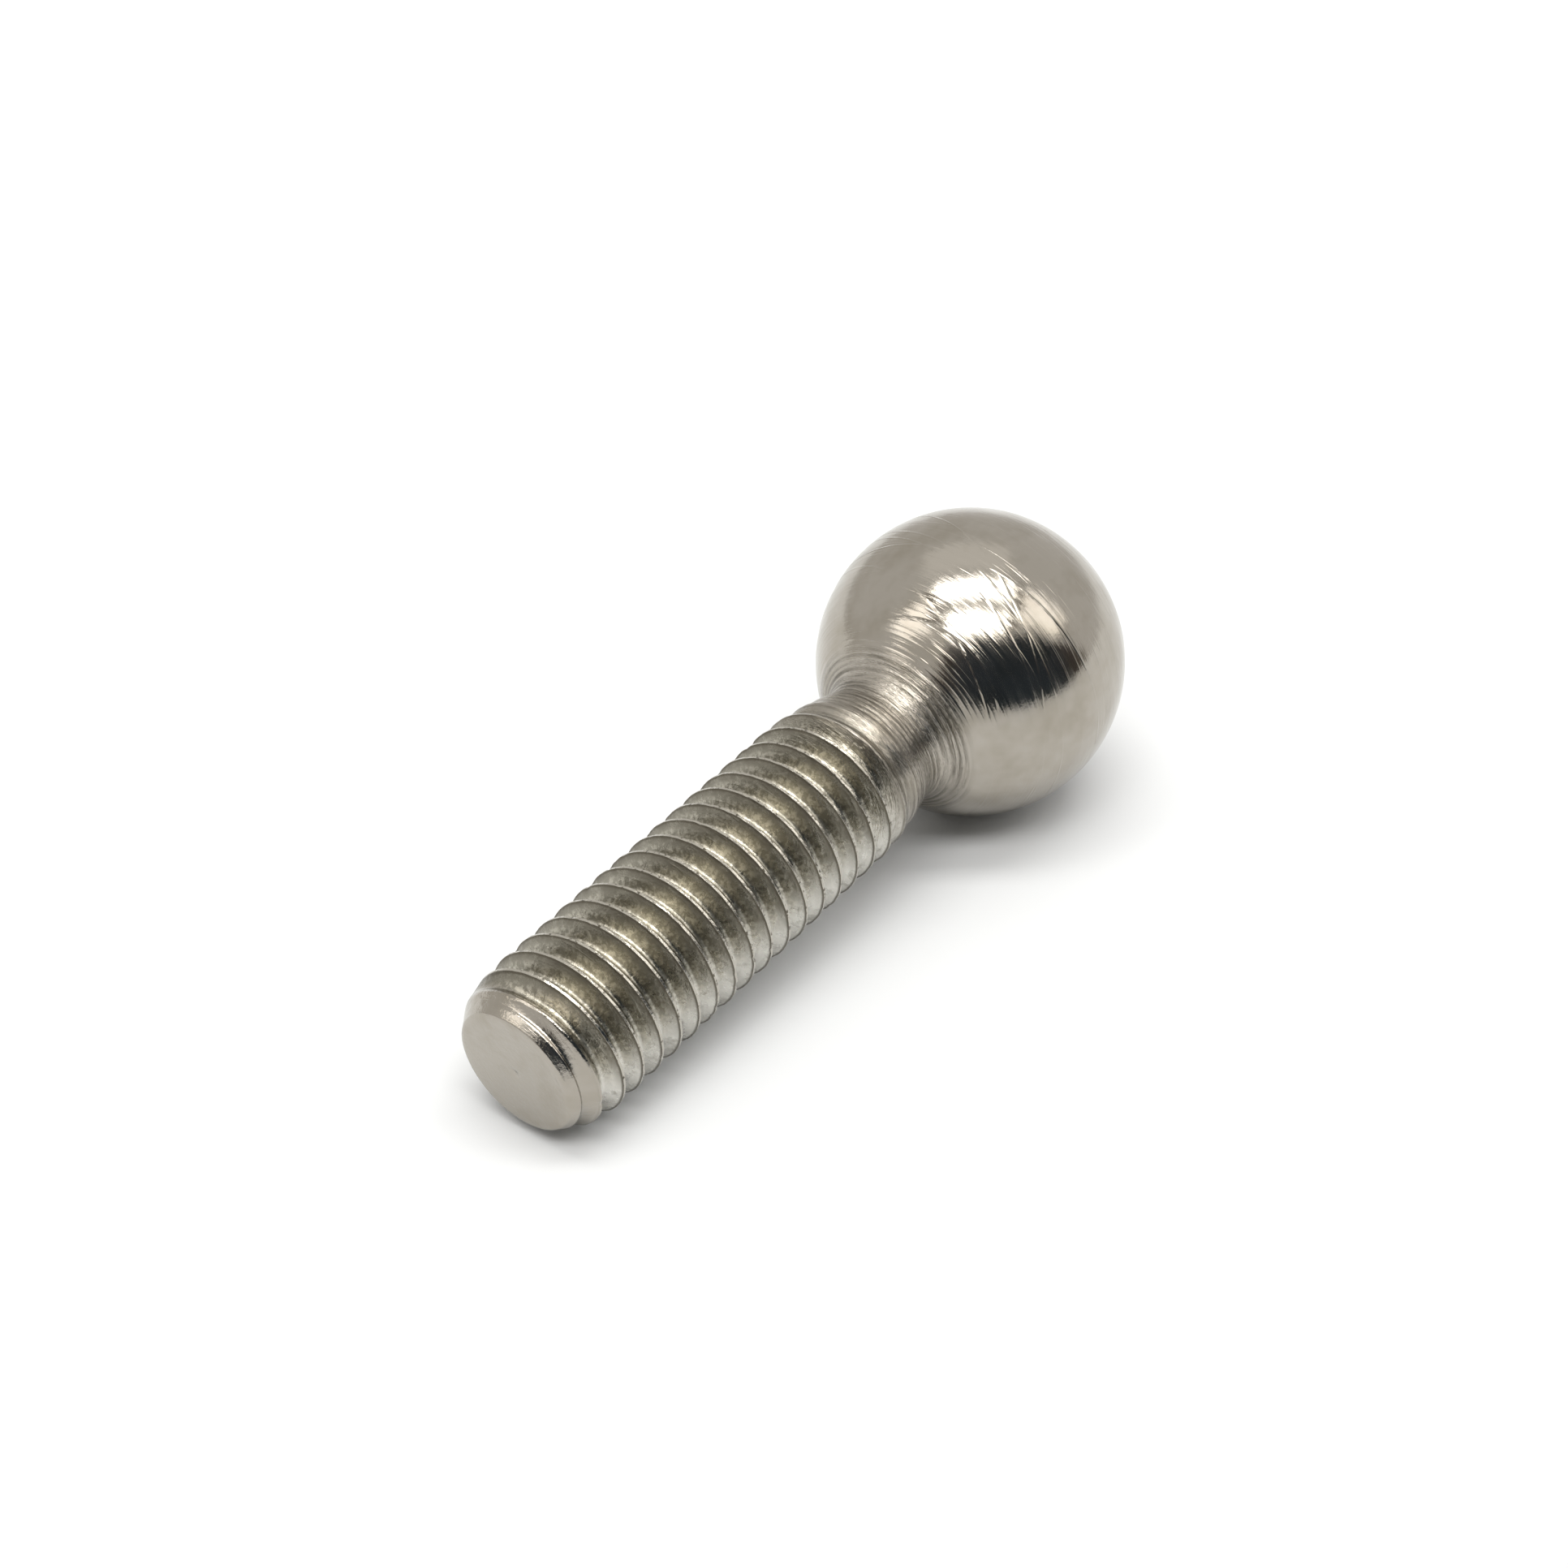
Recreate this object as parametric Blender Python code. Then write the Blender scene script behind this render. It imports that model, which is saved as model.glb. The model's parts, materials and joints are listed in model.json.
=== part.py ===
"""Ball stud: a ball, a turned neck and an M8 thread, all cut from one steel bar.

The stud is modelled lying along +X with the ball's centre at zero, so a station is the distance
from the ball's centre towards the threaded end. It is then turned to point along -X and laid down
on the plane z = 0, where it rests on the ball and on one crest of the thread.
"""
import math

import bmesh
import bpy
from mathutils import Euler, Vector

# Driving dimensions, in metres.
BALL_RADIUS = 0.0074
POLE_FLAT_RADIUS = 0.0012
STUD_REACH = 0.03285            # from the ball's centre to the flat end
NECK_RADIUS = 0.0032
NECK_FILLET = 0.0014            # hollow where the neck runs into the ball
CREST_RADIUS = 0.00394          # M8 thread, outside
PITCH = 0.00125
GROOVE_DEPTH = 0.6134 * PITCH   # ISO depth of an external thread
TOP_CREST = 0.03073             # station where a crest crosses the top of the stud

# Turned shape of the threaded end and of the run-out beside the neck.
END_FLAT_RADIUS = 0.00280
LEAD_IN_STATION = 0.03050       # the bar has its full thread diameter up to here
LEAD_IN_TAPER = 0.19            # and loses this much radius for each unit of length beyond
DOME_STATION = 0.03175          # where the end starts to curve in
DOME_DROP = 0.00062             # what the curve takes off on top of the taper
DOME_POWER = 1.6
SHOULDER_STATION = 0.03215      # the last ring of the thread
NOSE_STATIONS = (0.03240, 0.03262, 0.03279)
NECK_END_STATION = 0.00770
RUN_OUT_STATION = 0.01170       # from here on, going the other way
GROOVE_LIVE_STATION = 0.01220   # the groove is at full depth from here to the end
GROOVE_DEAD_STATION = 0.00830   # and has run out here
LEAD_IN_RATE = 6.0              # the groove reaches full depth in a sixth of a turn at the tip

SEGMENTS = 32
BALL_RINGS = 15
FILLET_RINGS = 4
THREAD_START = 0.00800
SHARP_ANGLE = math.radians(35.0)

# How the dip at which the stud rests is found: a search from level, halved this many times.
STEEPEST_DIP = math.radians(20.0)
HALVINGS = 50

# One pitch of the thread, as shares of the pitch measured from a crest's centre line, and
# whether each point lies in the groove.
CREST_HALF = 1 / 16
ROOT_HALF = 1 / 12
THREAD_POINTS = (
    (CREST_HALF, False),
    (0.5 - ROOT_HALF, True),
    (0.5 + ROOT_HALF, True),
    (1.0 - CREST_HALF, False),
)


def lerp(low, high, share):
    """Value at a share of the way from low to high, held at both ends."""
    return low + (high - low) * min(max(share, 0.0), 1.0)


def smooth(share):
    """Ease from 0 to 1, held at both ends."""
    share = min(max(share, 0.0), 1.0)
    return share * share * (3.0 - 2.0 * share)


def bar_radius(station):
    """Radius of the turned bar before the thread is cut."""
    if station < RUN_OUT_STATION:
        share = (station - NECK_END_STATION) / (RUN_OUT_STATION - NECK_END_STATION)
        return lerp(NECK_RADIUS, CREST_RADIUS, share)
    taper = LEAD_IN_TAPER * max(station - LEAD_IN_STATION, 0.0)
    dome_share = max(station - DOME_STATION, 0.0) / (STUD_REACH - DOME_STATION)
    return CREST_RADIUS - taper - DOME_DROP * dome_share ** DOME_POWER


def groove_radius(station, turns_left):
    """Radius at the bottom of the groove, which fades out at both of its ends."""
    run_out = smooth((station - GROOVE_DEAD_STATION) / (GROOVE_LIVE_STATION - GROOVE_DEAD_STATION))
    lead_in = smooth(LEAD_IN_RATE * turns_left)
    return lerp(bar_radius(station), CREST_RADIUS - GROOVE_DEPTH, run_out * lead_in)


def ring_angle(step):
    """Angle of a column of points; a flat between two columns faces straight down."""
    return 2.0 * math.pi * (step + 0.5) / SEGMENTS


def point_at(station, radius, step):
    """Point on the stud, with its angle counted right-handed about +X."""
    angle = ring_angle(step)
    return Vector((station, radius * math.cos(angle), radius * math.sin(angle)))


def add_ring(mesh, station, radius):
    """One circle of points round the axis."""
    return [mesh.verts.new(point_at(station, radius, step)) for step in range(SEGMENTS)]


def bridge(mesh, lower, upper):
    """Band of faces between two rings, facing out when upper has the higher station."""
    for step in range(SEGMENTS):
        after = (step + 1) % SEGMENTS
        mesh.faces.new((lower[step], lower[after], upper[after], upper[step]))


def ball_outline():
    """Stations and radii from the pole's flat, round the ball and down its hollow to the neck."""
    fillet_height = NECK_RADIUS + NECK_FILLET
    fillet_station = math.sqrt((BALL_RADIUS + NECK_FILLET) ** 2 - fillet_height ** 2)
    start = math.pi - math.asin(POLE_FLAT_RADIUS / BALL_RADIUS)
    join = math.atan2(fillet_height, fillet_station)
    outline = []
    for index in range(BALL_RINGS + 1):
        angle = lerp(start, join, index / BALL_RINGS)
        outline.append((BALL_RADIUS * math.cos(angle), BALL_RADIUS * math.sin(angle)))
    for index in range(1, FILLET_RINGS + 1):
        angle = lerp(join, 0.5 * math.pi, index / FILLET_RINGS)
        station = fillet_station - NECK_FILLET * math.cos(angle)
        outline.append((station, fillet_height - NECK_FILLET * math.sin(angle)))
    outline.append((NECK_END_STATION, NECK_RADIUS))
    return outline


def thread_phase():
    """Station of the crest centre line at column 0 of the first turn."""
    turned = (ring_angle(0) - 0.5 * math.pi) / (2.0 * math.pi)
    crest = TOP_CREST + turned * PITCH
    first_point = THREAD_START - THREAD_POINTS[0][0] * PITCH
    return crest - PITCH * math.floor((crest - first_point) / PITCH)


def add_thread(mesh, first_ring, last_ring):
    """Sweep one pitch along the helix and close the wedge that each end leaves."""
    phase = thread_phase()
    outer_share = THREAD_POINTS[0][0]
    span = SHOULDER_STATION - phase - outer_share * PITCH
    steps = math.floor(span / PITCH * SEGMENTS) - SEGMENTS - 1
    columns = []
    for step in range(steps + SEGMENTS + 1):
        column = []
        points = THREAD_POINTS if step <= steps else THREAD_POINTS[:1]
        for share, in_groove in points:
            station = phase + PITCH * (step / SEGMENTS + share)
            turns_left = (steps - step) / SEGMENTS
            radius = groove_radius(station, turns_left) if in_groove else bar_radius(station)
            column.append(mesh.verts.new(point_at(station, radius, step % SEGMENTS)))
        columns.append(column)
    for step in range(steps):
        left = columns[step] + columns[step + SEGMENTS][:1]
        right = columns[step + 1] + columns[step + 1 + SEGMENTS][:1]
        for index in range(len(THREAD_POINTS)):
            mesh.faces.new((left[index], right[index], right[index + 1], left[index + 1]))
    close_start(mesh, columns, first_ring)
    close_end(mesh, columns, steps, last_ring)


def close_start(mesh, columns, ring):
    """Fill between the ring below the thread and the first turn of the helix."""
    for step in range(SEGMENTS - 1):
        lower = (ring[step], ring[step + 1])
        mesh.faces.new((lower[0], lower[1], columns[step + 1][0], columns[step][0]))
    corner = columns[SEGMENTS - 1][0]
    mesh.faces.new((ring[SEGMENTS - 1], ring[0], corner))
    side = [ring[0]] + columns[0] + columns[SEGMENTS][:1]
    for below, above in zip(side, side[1:]):
        mesh.faces.new((corner, below, above))


def close_end(mesh, columns, steps, ring):
    """Fill between the last turn of the helix and the ring at the shoulder."""
    for step in range(steps + 1, steps + SEGMENTS):
        upper = (ring[(step + 1) % SEGMENTS], ring[step % SEGMENTS])
        mesh.faces.new((columns[step][0], columns[step + 1][0], upper[0], upper[1]))
    corner = columns[steps + 1][0]
    side = columns[steps] + columns[steps + SEGMENTS][:1] + [ring[steps % SEGMENTS]]
    for below, above in zip(side, side[1:]):
        mesh.faces.new((corner, above, below))
    mesh.faces.new((corner, ring[(steps + 1) % SEGMENTS], ring[steps % SEGMENTS]))


def stud_mesh():
    """The whole stud as one closed skin, lying along +X."""
    mesh = bmesh.new()
    rings = [add_ring(mesh, station, radius) for station, radius in ball_outline()]
    for lower, upper in zip(rings, rings[1:]):
        bridge(mesh, lower, upper)
    thread_ring = add_ring(mesh, THREAD_START, bar_radius(THREAD_START))
    nose = [add_ring(mesh, SHOULDER_STATION, bar_radius(SHOULDER_STATION))]
    nose += [add_ring(mesh, station, bar_radius(station)) for station in NOSE_STATIONS]
    nose.append(add_ring(mesh, STUD_REACH, END_FLAT_RADIUS))
    bridge(mesh, rings[-1], thread_ring)
    add_thread(mesh, thread_ring, nose[0])
    for lower, upper in zip(nose, nose[1:]):
        bridge(mesh, lower, upper)
    mesh.faces.new(nose[-1])
    mesh.faces.new(list(reversed(rings[0])))
    mesh.normal_update()
    data = bpy.data.meshes.new("ball_stud")
    mesh.to_mesh(data)
    mesh.free()
    return data


def lowest(points, turn):
    """Height of the lowest of some points once they are turned."""
    return min((turn @ point).z for point in points)


def resting_turn(points):
    """Rotation that points the stud along -X and dips it until ball and thread are level."""
    ball = [point for point in points if point.x < BALL_RADIUS]
    shank = [point for point in points if point.x > RUN_OUT_STATION]
    low, high = 0.0, STEEPEST_DIP
    for _ in range(HALVINGS):
        dip = 0.5 * (low + high)
        turn = Euler((0.0, dip, math.pi)).to_matrix()
        if lowest(shank, turn) > lowest(ball, turn):
            low = dip
        else:
            high = dip
    return Euler((0.0, dip, math.pi))


def nickel():
    """Bright nickel plating over steel."""
    material = bpy.data.materials.new("nickel_plate")
    material.use_nodes = True
    shader = material.node_tree.nodes["Principled BSDF"]
    shader.inputs["Base Color"].default_value = (0.62, 0.59, 0.54, 1.0)
    shader.inputs["Metallic"].default_value = 1.0
    shader.inputs["Roughness"].default_value = 0.22
    return material


def build():
    """Make the stud and lay it down, centred over the origin."""
    for thing in list(bpy.data.objects):
        bpy.data.objects.remove(thing, do_unlink=True)
    data = stud_mesh()
    data.materials.append(nickel())
    data.shade_smooth()
    data.set_sharp_from_angle(angle=SHARP_ANGLE)
    stud = bpy.data.objects.new("ball_stud", data)
    bpy.context.collection.objects.link(stud)
    points = [vertex.co.copy() for vertex in data.vertices]
    stud.rotation_euler = resting_turn(points)
    turn = stud.rotation_euler.to_matrix()
    placed = [turn @ point for point in points]
    middle_x = 0.5 * (min(p.x for p in placed) + max(p.x for p in placed))
    middle_y = 0.5 * (min(p.y for p in placed) + max(p.y for p in placed))
    stud.location = (-middle_x, -middle_y, -min(p.z for p in placed))


build()
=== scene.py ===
# %% [markdown]
# A ball stud, the male half of a ball joint: a ball, a short neck and an M8 thread, all turned
# from one bar of steel and plated with bright nickel. There is nothing to assemble. What makes
# it hard is that it is almost a mirror, so the surface has to be right: the thread is a true
# helix, the lathe's rings are cut into the mesh, and the light is arranged as it would be on a
# product table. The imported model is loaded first, because it says where the stud lies.

import json
import math
import random

import bpy
import numpy as np
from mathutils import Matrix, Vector, noise


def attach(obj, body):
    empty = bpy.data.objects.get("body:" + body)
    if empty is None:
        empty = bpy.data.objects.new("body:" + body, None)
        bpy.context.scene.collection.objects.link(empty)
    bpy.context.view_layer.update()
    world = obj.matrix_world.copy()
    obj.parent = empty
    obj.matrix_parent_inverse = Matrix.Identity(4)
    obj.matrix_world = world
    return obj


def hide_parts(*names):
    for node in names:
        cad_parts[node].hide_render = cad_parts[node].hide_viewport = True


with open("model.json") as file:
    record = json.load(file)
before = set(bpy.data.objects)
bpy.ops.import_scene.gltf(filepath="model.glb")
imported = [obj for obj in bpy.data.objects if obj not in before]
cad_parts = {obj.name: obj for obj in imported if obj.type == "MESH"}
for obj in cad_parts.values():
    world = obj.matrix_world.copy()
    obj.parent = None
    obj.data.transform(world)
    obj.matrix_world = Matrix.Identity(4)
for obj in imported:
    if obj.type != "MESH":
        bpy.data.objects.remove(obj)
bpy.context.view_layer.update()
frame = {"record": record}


# %% [markdown]
# The stud is modelled on a bench of its own, lying along +X with the ball's centre at zero, and
# is laid down on the floor at the very end. "Station" means the distance from the ball's centre
# along the stud. The flat end's mount tells where the stud lies and how far it dips.

# %% Where the stud lies, and its sizes in metres
MM = 0.001
BALL_RADIUS = 7.4 * MM
POLE_FLAT_RADIUS = 1.2 * MM
STUD_REACH = 32.85 * MM
NECK_RADIUS = 3.2 * MM
NECK_FILLET = 1.4 * MM
CREST_RADIUS = 3.94 * MM
PITCH = 1.25 * MM
TOP_CREST = 30.73 * MM          # station where a crest crosses the top
END_FLAT_RADIUS = 2.80 * MM

mounts = {mount["name"]: mount for mount in frame["record"]["mounts"]}
end_centre = Vector(mounts["end_face"]["pos_m"])
along = Vector(mounts["end_face"]["axis"]).normalized()
ball_centre = end_centre - along * STUD_REACH
dip = math.asin(-along.z)
print("ball centre", [round(c / MM, 2) for c in ball_centre], "mm, dip", round(math.degrees(dip), 2))


# %% [markdown]
# The bar's own shape is one formula with a few sizes in it. The neck swells into the thread over
# a few millimetres, where the die ran out. Near the point the bar tapers a little, and then a
# chamfer cuts it back, so that a nut finds its way on. Every point of the shank is placed by it.

# %% The bar before the thread is cut
RUN_OUT_START = 7.5 * MM
RUN_OUT_END = 12.0 * MM
SOFT_START = 0.05               # share of the run-out over which the bar starts to swell
SWELL_POWER = 1.9
LEAD_IN = 30.5 * MM
TAPER_SLOPE = 0.19              # the bar loses this much radius for each unit of length
CHAMFER_START = 31.75 * MM
CHAMFER_BLEND = 0.25 * MM       # length over which the chamfer comes in
CHAMFER_SLOPE = 0.52            # what it takes off for each unit of length, on top of the taper
SAMPLE_STATIONS = (8.0, 10.0, 12.0, 31.8, 32.2, 32.5, 32.8)


def share_between(low, high, value):
    """How far a value, or an array of them, is from low to high, held between 0 and 1."""
    return np.clip((value - low) / (high - low), 0.0, 1.0)


def smooth(low, high, value):
    """The same share with a soft start and stop."""
    share = share_between(low, high, value)
    return share * share * (3.0 - 2.0 * share)


def bar_radius(station):
    """Radius of the turned bar at a station."""
    share = share_between(RUN_OUT_START, RUN_OUT_END, station)
    soft_share = share * share * (1.0 + SOFT_START) / (share + SOFT_START)
    swell = 1.0 - (1.0 - soft_share) ** SWELL_POWER
    taper = np.clip(station - LEAD_IN, 0.0, None) * TAPER_SLOPE
    beyond = np.clip(station - CHAMFER_START, 0.0, None)
    blended = np.minimum(beyond, CHAMFER_BLEND) ** 2 / (2 * CHAMFER_BLEND)
    chamfer = CHAMFER_SLOPE * (blended + np.clip(beyond - CHAMFER_BLEND, 0.0, None))
    return NECK_RADIUS + (CREST_RADIUS - NECK_RADIUS) * swell - taper - chamfer


for station in SAMPLE_STATIONS:
    print("station", station, "radius", round(float(bar_radius(station * MM)) / MM, 3))


# %% [markdown]
# Two helpers do what the mouse would do. One picks objects, after deselecting everything,
# because an operator works on all that is selected. The other draws an outline by extruding a
# point from place to place. Outlines are drawn under the axis, so that the seam lies underneath.

# %% Helpers: pick and draw
def pick(*pieces):
    """Select just these pieces, the last one active."""
    if bpy.context.mode != "OBJECT":
        bpy.ops.object.mode_set(mode="OBJECT")
    bpy.ops.object.select_all(action="DESELECT")
    for piece in pieces:
        piece.select_set(True)
        bpy.context.view_layer.objects.active = piece


def draw_outline(name, outline):
    """A chain of edges through pairs of station and radius, extruded from one to the next."""
    pick()
    bpy.ops.mesh.primitive_plane_add(size=MM)
    piece = bpy.context.object
    piece.name = name
    bpy.ops.object.mode_set(mode="EDIT")
    bpy.ops.mesh.select_all(action="SELECT")
    bpy.ops.mesh.merge(type="CENTER")
    here = Vector((0.0, 0.0, 0.0))
    for index, (station, radius) in enumerate(outline):
        there = Vector((station, 0.0, -radius))
        if index == 0:
            bpy.ops.transform.translate(value=there - here)
        else:
            bpy.ops.mesh.extrude_vertices_move(TRANSFORM_OT_translate={"value": there - here})
        here = there
    bpy.ops.object.mode_set(mode="OBJECT")
    return piece


# %% [markdown]
# A lathe makes a shape by turning an outline, and Spin does the same. The circle is cut in 128,
# so the ball's silhouette is smooth, and the last ring is welded to the first.

# %% Helper: turn an outline
TURN_STEPS = 128
WELD = 0.0001 * MM


def turn_outline(piece):
    """Spin the outline once round the stud's axis and weld it shut."""
    pick(piece)
    bpy.ops.object.mode_set(mode="EDIT")
    bpy.ops.mesh.select_all(action="SELECT")
    bpy.ops.mesh.spin(steps=TURN_STEPS, angle=2 * math.pi, center=(0, 0, 0), axis=(1, 0, 0))
    bpy.ops.mesh.select_all(action="SELECT")
    bpy.ops.mesh.remove_doubles(threshold=WELD)
    bpy.ops.object.mode_set(mode="OBJECT")
    print(piece.name, len(piece.data.vertices), "points")


# %% [markdown]
# The ball's outline starts at the little flat that parting-off leaves on its far pole, runs
# round the ball, and leaves it along a hollow of 1.4 mm that is tangent to ball and neck. The
# hollow's centre follows from that: it is one ball radius plus one hollow radius away. Points
# lie closer together near the neck, where the tool marks are.

# %% Turn the ball and neck
FINE_STEP = 0.028 * MM
COARSE_STEP = 0.22 * MM
FINE_REACH = 5.3 * MM           # tool marks reach this far over the ball

hollow_height = NECK_RADIUS + NECK_FILLET
hollow_station = math.sqrt((BALL_RADIUS + NECK_FILLET) ** 2 - hollow_height ** 2)
join_angle = math.atan2(hollow_height, hollow_station)
hollow_turn = math.pi / 2 - join_angle
pole_angle = math.pi - math.asin(POLE_FLAT_RADIUS / BALL_RADIUS)
fine_angle = join_angle + FINE_REACH / BALL_RADIUS


def ball_arc(start, stop, step):
    """Points round the ball from one angle to another, without the first."""
    count = round(abs(stop - start) * BALL_RADIUS / step)
    angles = [start + (stop - start) * (index + 1) / count for index in range(count)]
    return [(BALL_RADIUS * math.cos(angle), BALL_RADIUS * math.sin(angle)) for angle in angles]


def hollow_arc(step):
    """Points down the hollow from the ball to the neck, without the first."""
    count = round(hollow_turn * NECK_FILLET / step)
    angles = [join_angle + hollow_turn * (index + 1) / count for index in range(count)]
    return [(hollow_station - NECK_FILLET * math.cos(angle),
             hollow_height - NECK_FILLET * math.sin(angle)) for angle in angles]


crest_below = TOP_CREST - PITCH / 2
thread_start = crest_below - PITCH * math.floor((crest_below - hollow_station) / PITCH)
flat_station = BALL_RADIUS * math.cos(pole_angle)
outline = [(flat_station, POLE_FLAT_RADIUS * share) for share in (0.0, 0.5, 1.0)]
outline += ball_arc(pole_angle, fine_angle, COARSE_STEP)
outline += ball_arc(fine_angle, join_angle, FINE_STEP)
outline += hollow_arc(FINE_STEP)
for share in (0.5, 1.0):
    station = hollow_station + (thread_start - hollow_station) * share
    outline.append((station, float(bar_radius(station))))
ball = draw_outline("ball_and_neck", outline)
turn_outline(ball)
print("hollow ends at station", round(hollow_station / MM, 3))
print("thread starts at station", round(thread_start / MM, 3))


# %% [markdown]
# A thread could be cut out with a Boolean, but that leaves slivers along every crest, and on a
# mirror they show. Instead one tooth space is drawn from crest to crest: 60 degree flanks down
# to a round root, as the standard has it. Lengths here are shares of the pitch.

# %% Draw one tooth space
GROOVE_DEPTH = 0.6134 * PITCH   # ISO depth of an external thread
CREST_HALF = 0.042              # half the width of a crest
ROOT_HALF = 1 / 8               # half the width of the round root
ROOT_ROUND = 0.1443             # radius of the root
FLANK_STEPS = 5
ROOT_STEPS = 6


def tooth_space():
    """Shares of a pitch, with the depth at each, from one crest's centre line to the next."""
    def root(share):
        across = share - 0.5
        rise = ROOT_ROUND - math.sqrt(ROOT_ROUND ** 2 - across ** 2)
        return 1.0 - rise * PITCH / GROOVE_DEPTH

    edge = 0.5 - ROOT_HALF
    half = [(0.0, 0.0), (CREST_HALF, 0.0)]
    for index in range(1, FLANK_STEPS + 1):
        share = index / FLANK_STEPS
        half.append((CREST_HALF + (edge - CREST_HALF) * share, root(edge) * share))
    middle = [edge + 2 * ROOT_HALF * index / ROOT_STEPS for index in range(1, ROOT_STEPS)]
    mirrored = [(1.0 - share, depth) for share, depth in reversed(half)]
    return half + [(share, root(share)) for share in middle] + mirrored


SPACE = tooth_space()
SPACE_SHARES = [share for share, depth in SPACE]
SPACE_DEPTHS = [depth for share, depth in SPACE]
outline = [(thread_start + share * PITCH, CREST_RADIUS - GROOVE_DEPTH * depth) for share, depth in SPACE]
thread = draw_outline("thread", outline)
print(len(SPACE), "points across one pitch")


# %% [markdown]
# The Screw modifier sweeps the tooth space along the bar, 1.25 mm a turn, right-handed. Each
# turn shares its crest line with the next one and welds to it, so the skin's edges follow the
# helix everywhere.

# %% Sweep it along the helix
THREAD_MESH_END = 32.50 * MM
room_for_turns = (THREAD_MESH_END - thread_start) / PITCH - 1.0
thread_turns = math.floor(room_for_turns * TURN_STEPS) / TURN_STEPS
thread_stop = thread_start + PITCH * (thread_turns + 1.0)

pick(thread)
sweep = thread.modifiers.new("sweep", "SCREW")
sweep.axis = "X"
sweep.angle = 2 * math.pi * thread_turns
sweep.screw_offset = PITCH * thread_turns
sweep.steps = round(TURN_STEPS * thread_turns)
sweep.render_steps = sweep.steps
bpy.ops.object.modifier_apply(modifier=sweep.name)
bpy.ops.object.mode_set(mode="EDIT")
bpy.ops.mesh.select_all(action="SELECT")
bpy.ops.mesh.remove_doubles(threshold=WELD)
bpy.ops.object.mode_set(mode="OBJECT")
print(thread.name, len(thread.data.vertices), "points,", round(thread_turns, 3), "turns")


# %% [markdown]
# The groove can't have its full depth everywhere. It fades out where the bar swells from the
# neck, and near the point the last turn is broken off and cut again. Every point's place in the
# groove follows from its station and its angle, so one function gives the skin's radius anywhere.

# %% The skin's radius anywhere on the shank
GROOVE_DEAD = 8.3 * MM
GROOVE_LIVE = 12.2 * MM
LAST_TURNS = (18.50, 18.68, 18.86, 19.02, 19.46, 19.64)     # turns from the thread's start
LAST_DEPTHS = (1.0, 0.0, 0.0, 0.9, 0.9, 0.0)                # share of the depth at each
NOSE_FADE = 0.22 * MM           # the last cut leaves the end of the nose alone
ROOT_RADIUS = CREST_RADIUS - GROOVE_DEPTH


def read_points(piece):
    """All of a piece's points as rows of x, y, z."""
    points = np.empty(len(piece.data.vertices) * 3)
    piece.data.vertices.foreach_get("co", points)
    return points.reshape(-1, 3)


def write_points(piece, points):
    """Put all of a piece's points back."""
    piece.data.vertices.foreach_set("co", np.ascontiguousarray(points, dtype=np.float32).ravel())
    piece.data.update()


def groove_at(points):
    """For each point, how deep in the groove it lies, from 0 on a crest to 1 at a full root."""
    from_below = np.arctan2(points[:, 2], points[:, 1]) + math.pi / 2
    turned = np.mod(from_below, 2 * math.pi) / (2 * math.pi)
    pitches = (points[:, 0] - thread_start) / PITCH - turned
    depth = np.interp(pitches - np.floor(pitches), SPACE_SHARES, SPACE_DEPTHS)
    run_out = smooth(GROOVE_DEAD, GROOVE_LIVE, points[:, 0])
    lead_in = np.interp(np.floor(pitches) + turned, LAST_TURNS, LAST_DEPTHS)
    nose = smooth(thread_stop, thread_stop - NOSE_FADE, points[:, 0])
    return depth * run_out * lead_in * nose


def true_radii(piece):
    """Move every point of a swept piece straight out or in to the skin's radius."""
    points = read_points(piece)
    bar = bar_radius(points[:, 0])
    wanted = bar - (bar - ROOT_RADIUS) * groove_at(points)
    points[:, 1:] *= (wanted / np.hypot(points[:, 1], points[:, 2]))[:, None]
    write_points(piece, points)


true_radii(thread)
reach = np.hypot(*read_points(thread)[:, 1:].T)
print("radii from", round(reach.min() / MM, 3), "to", round(reach.max() / MM, 3), "mm")


# %% [markdown]
# A helix ends in a step, but the neck and the point end in flat rings. So the free crest line at
# each end is extruded once for every point of the tooth space and squashed towards a flat plane.
# The squashed lines then stop exactly at the tooth space's own points, and the step closes.

# %% Square off the helix's two ends
SQUARE_WELD = 0.001 * MM
LEAST_AREA = 0.01 * NECK_RADIUS ** 2     # an edge that goes round spans more than this with the axis


def select_crest_line(piece, lower_end):
    """Select the free crest line at one end, and stay in edit mode with its edges selected."""
    mesh = piece.data
    points = read_points(piece)
    uses = np.zeros(len(mesh.edges), int)
    loop_edges = np.empty(len(mesh.loops), np.int32)
    mesh.loops.foreach_get("edge_index", loop_edges)
    np.add.at(uses, loop_edges, 1)
    pairs = np.empty(len(mesh.edges) * 2, np.int32)
    mesh.edges.foreach_get("vertices", pairs)
    ends = points[pairs.reshape(-1, 2)]
    area = np.abs(ends[:, 0, 1] * ends[:, 1, 2] - ends[:, 0, 2] * ends[:, 1, 1])
    goes_round = area > LEAST_AREA
    half_way = (thread_start + thread_stop) / 2
    wanted = (uses == 1) & goes_round & ((ends[:, :, 0].mean(axis=1) < half_way) == lower_end)
    pick(piece)
    bpy.ops.object.mode_set(mode="EDIT")
    bpy.ops.mesh.select_mode(type="EDGE")
    bpy.ops.mesh.select_all(action="DESELECT")
    bpy.ops.object.mode_set(mode="OBJECT")
    mesh.edges.foreach_set("select", wanted)
    bpy.ops.object.mode_set(mode="EDIT")
    return int(wanted.sum())


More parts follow.
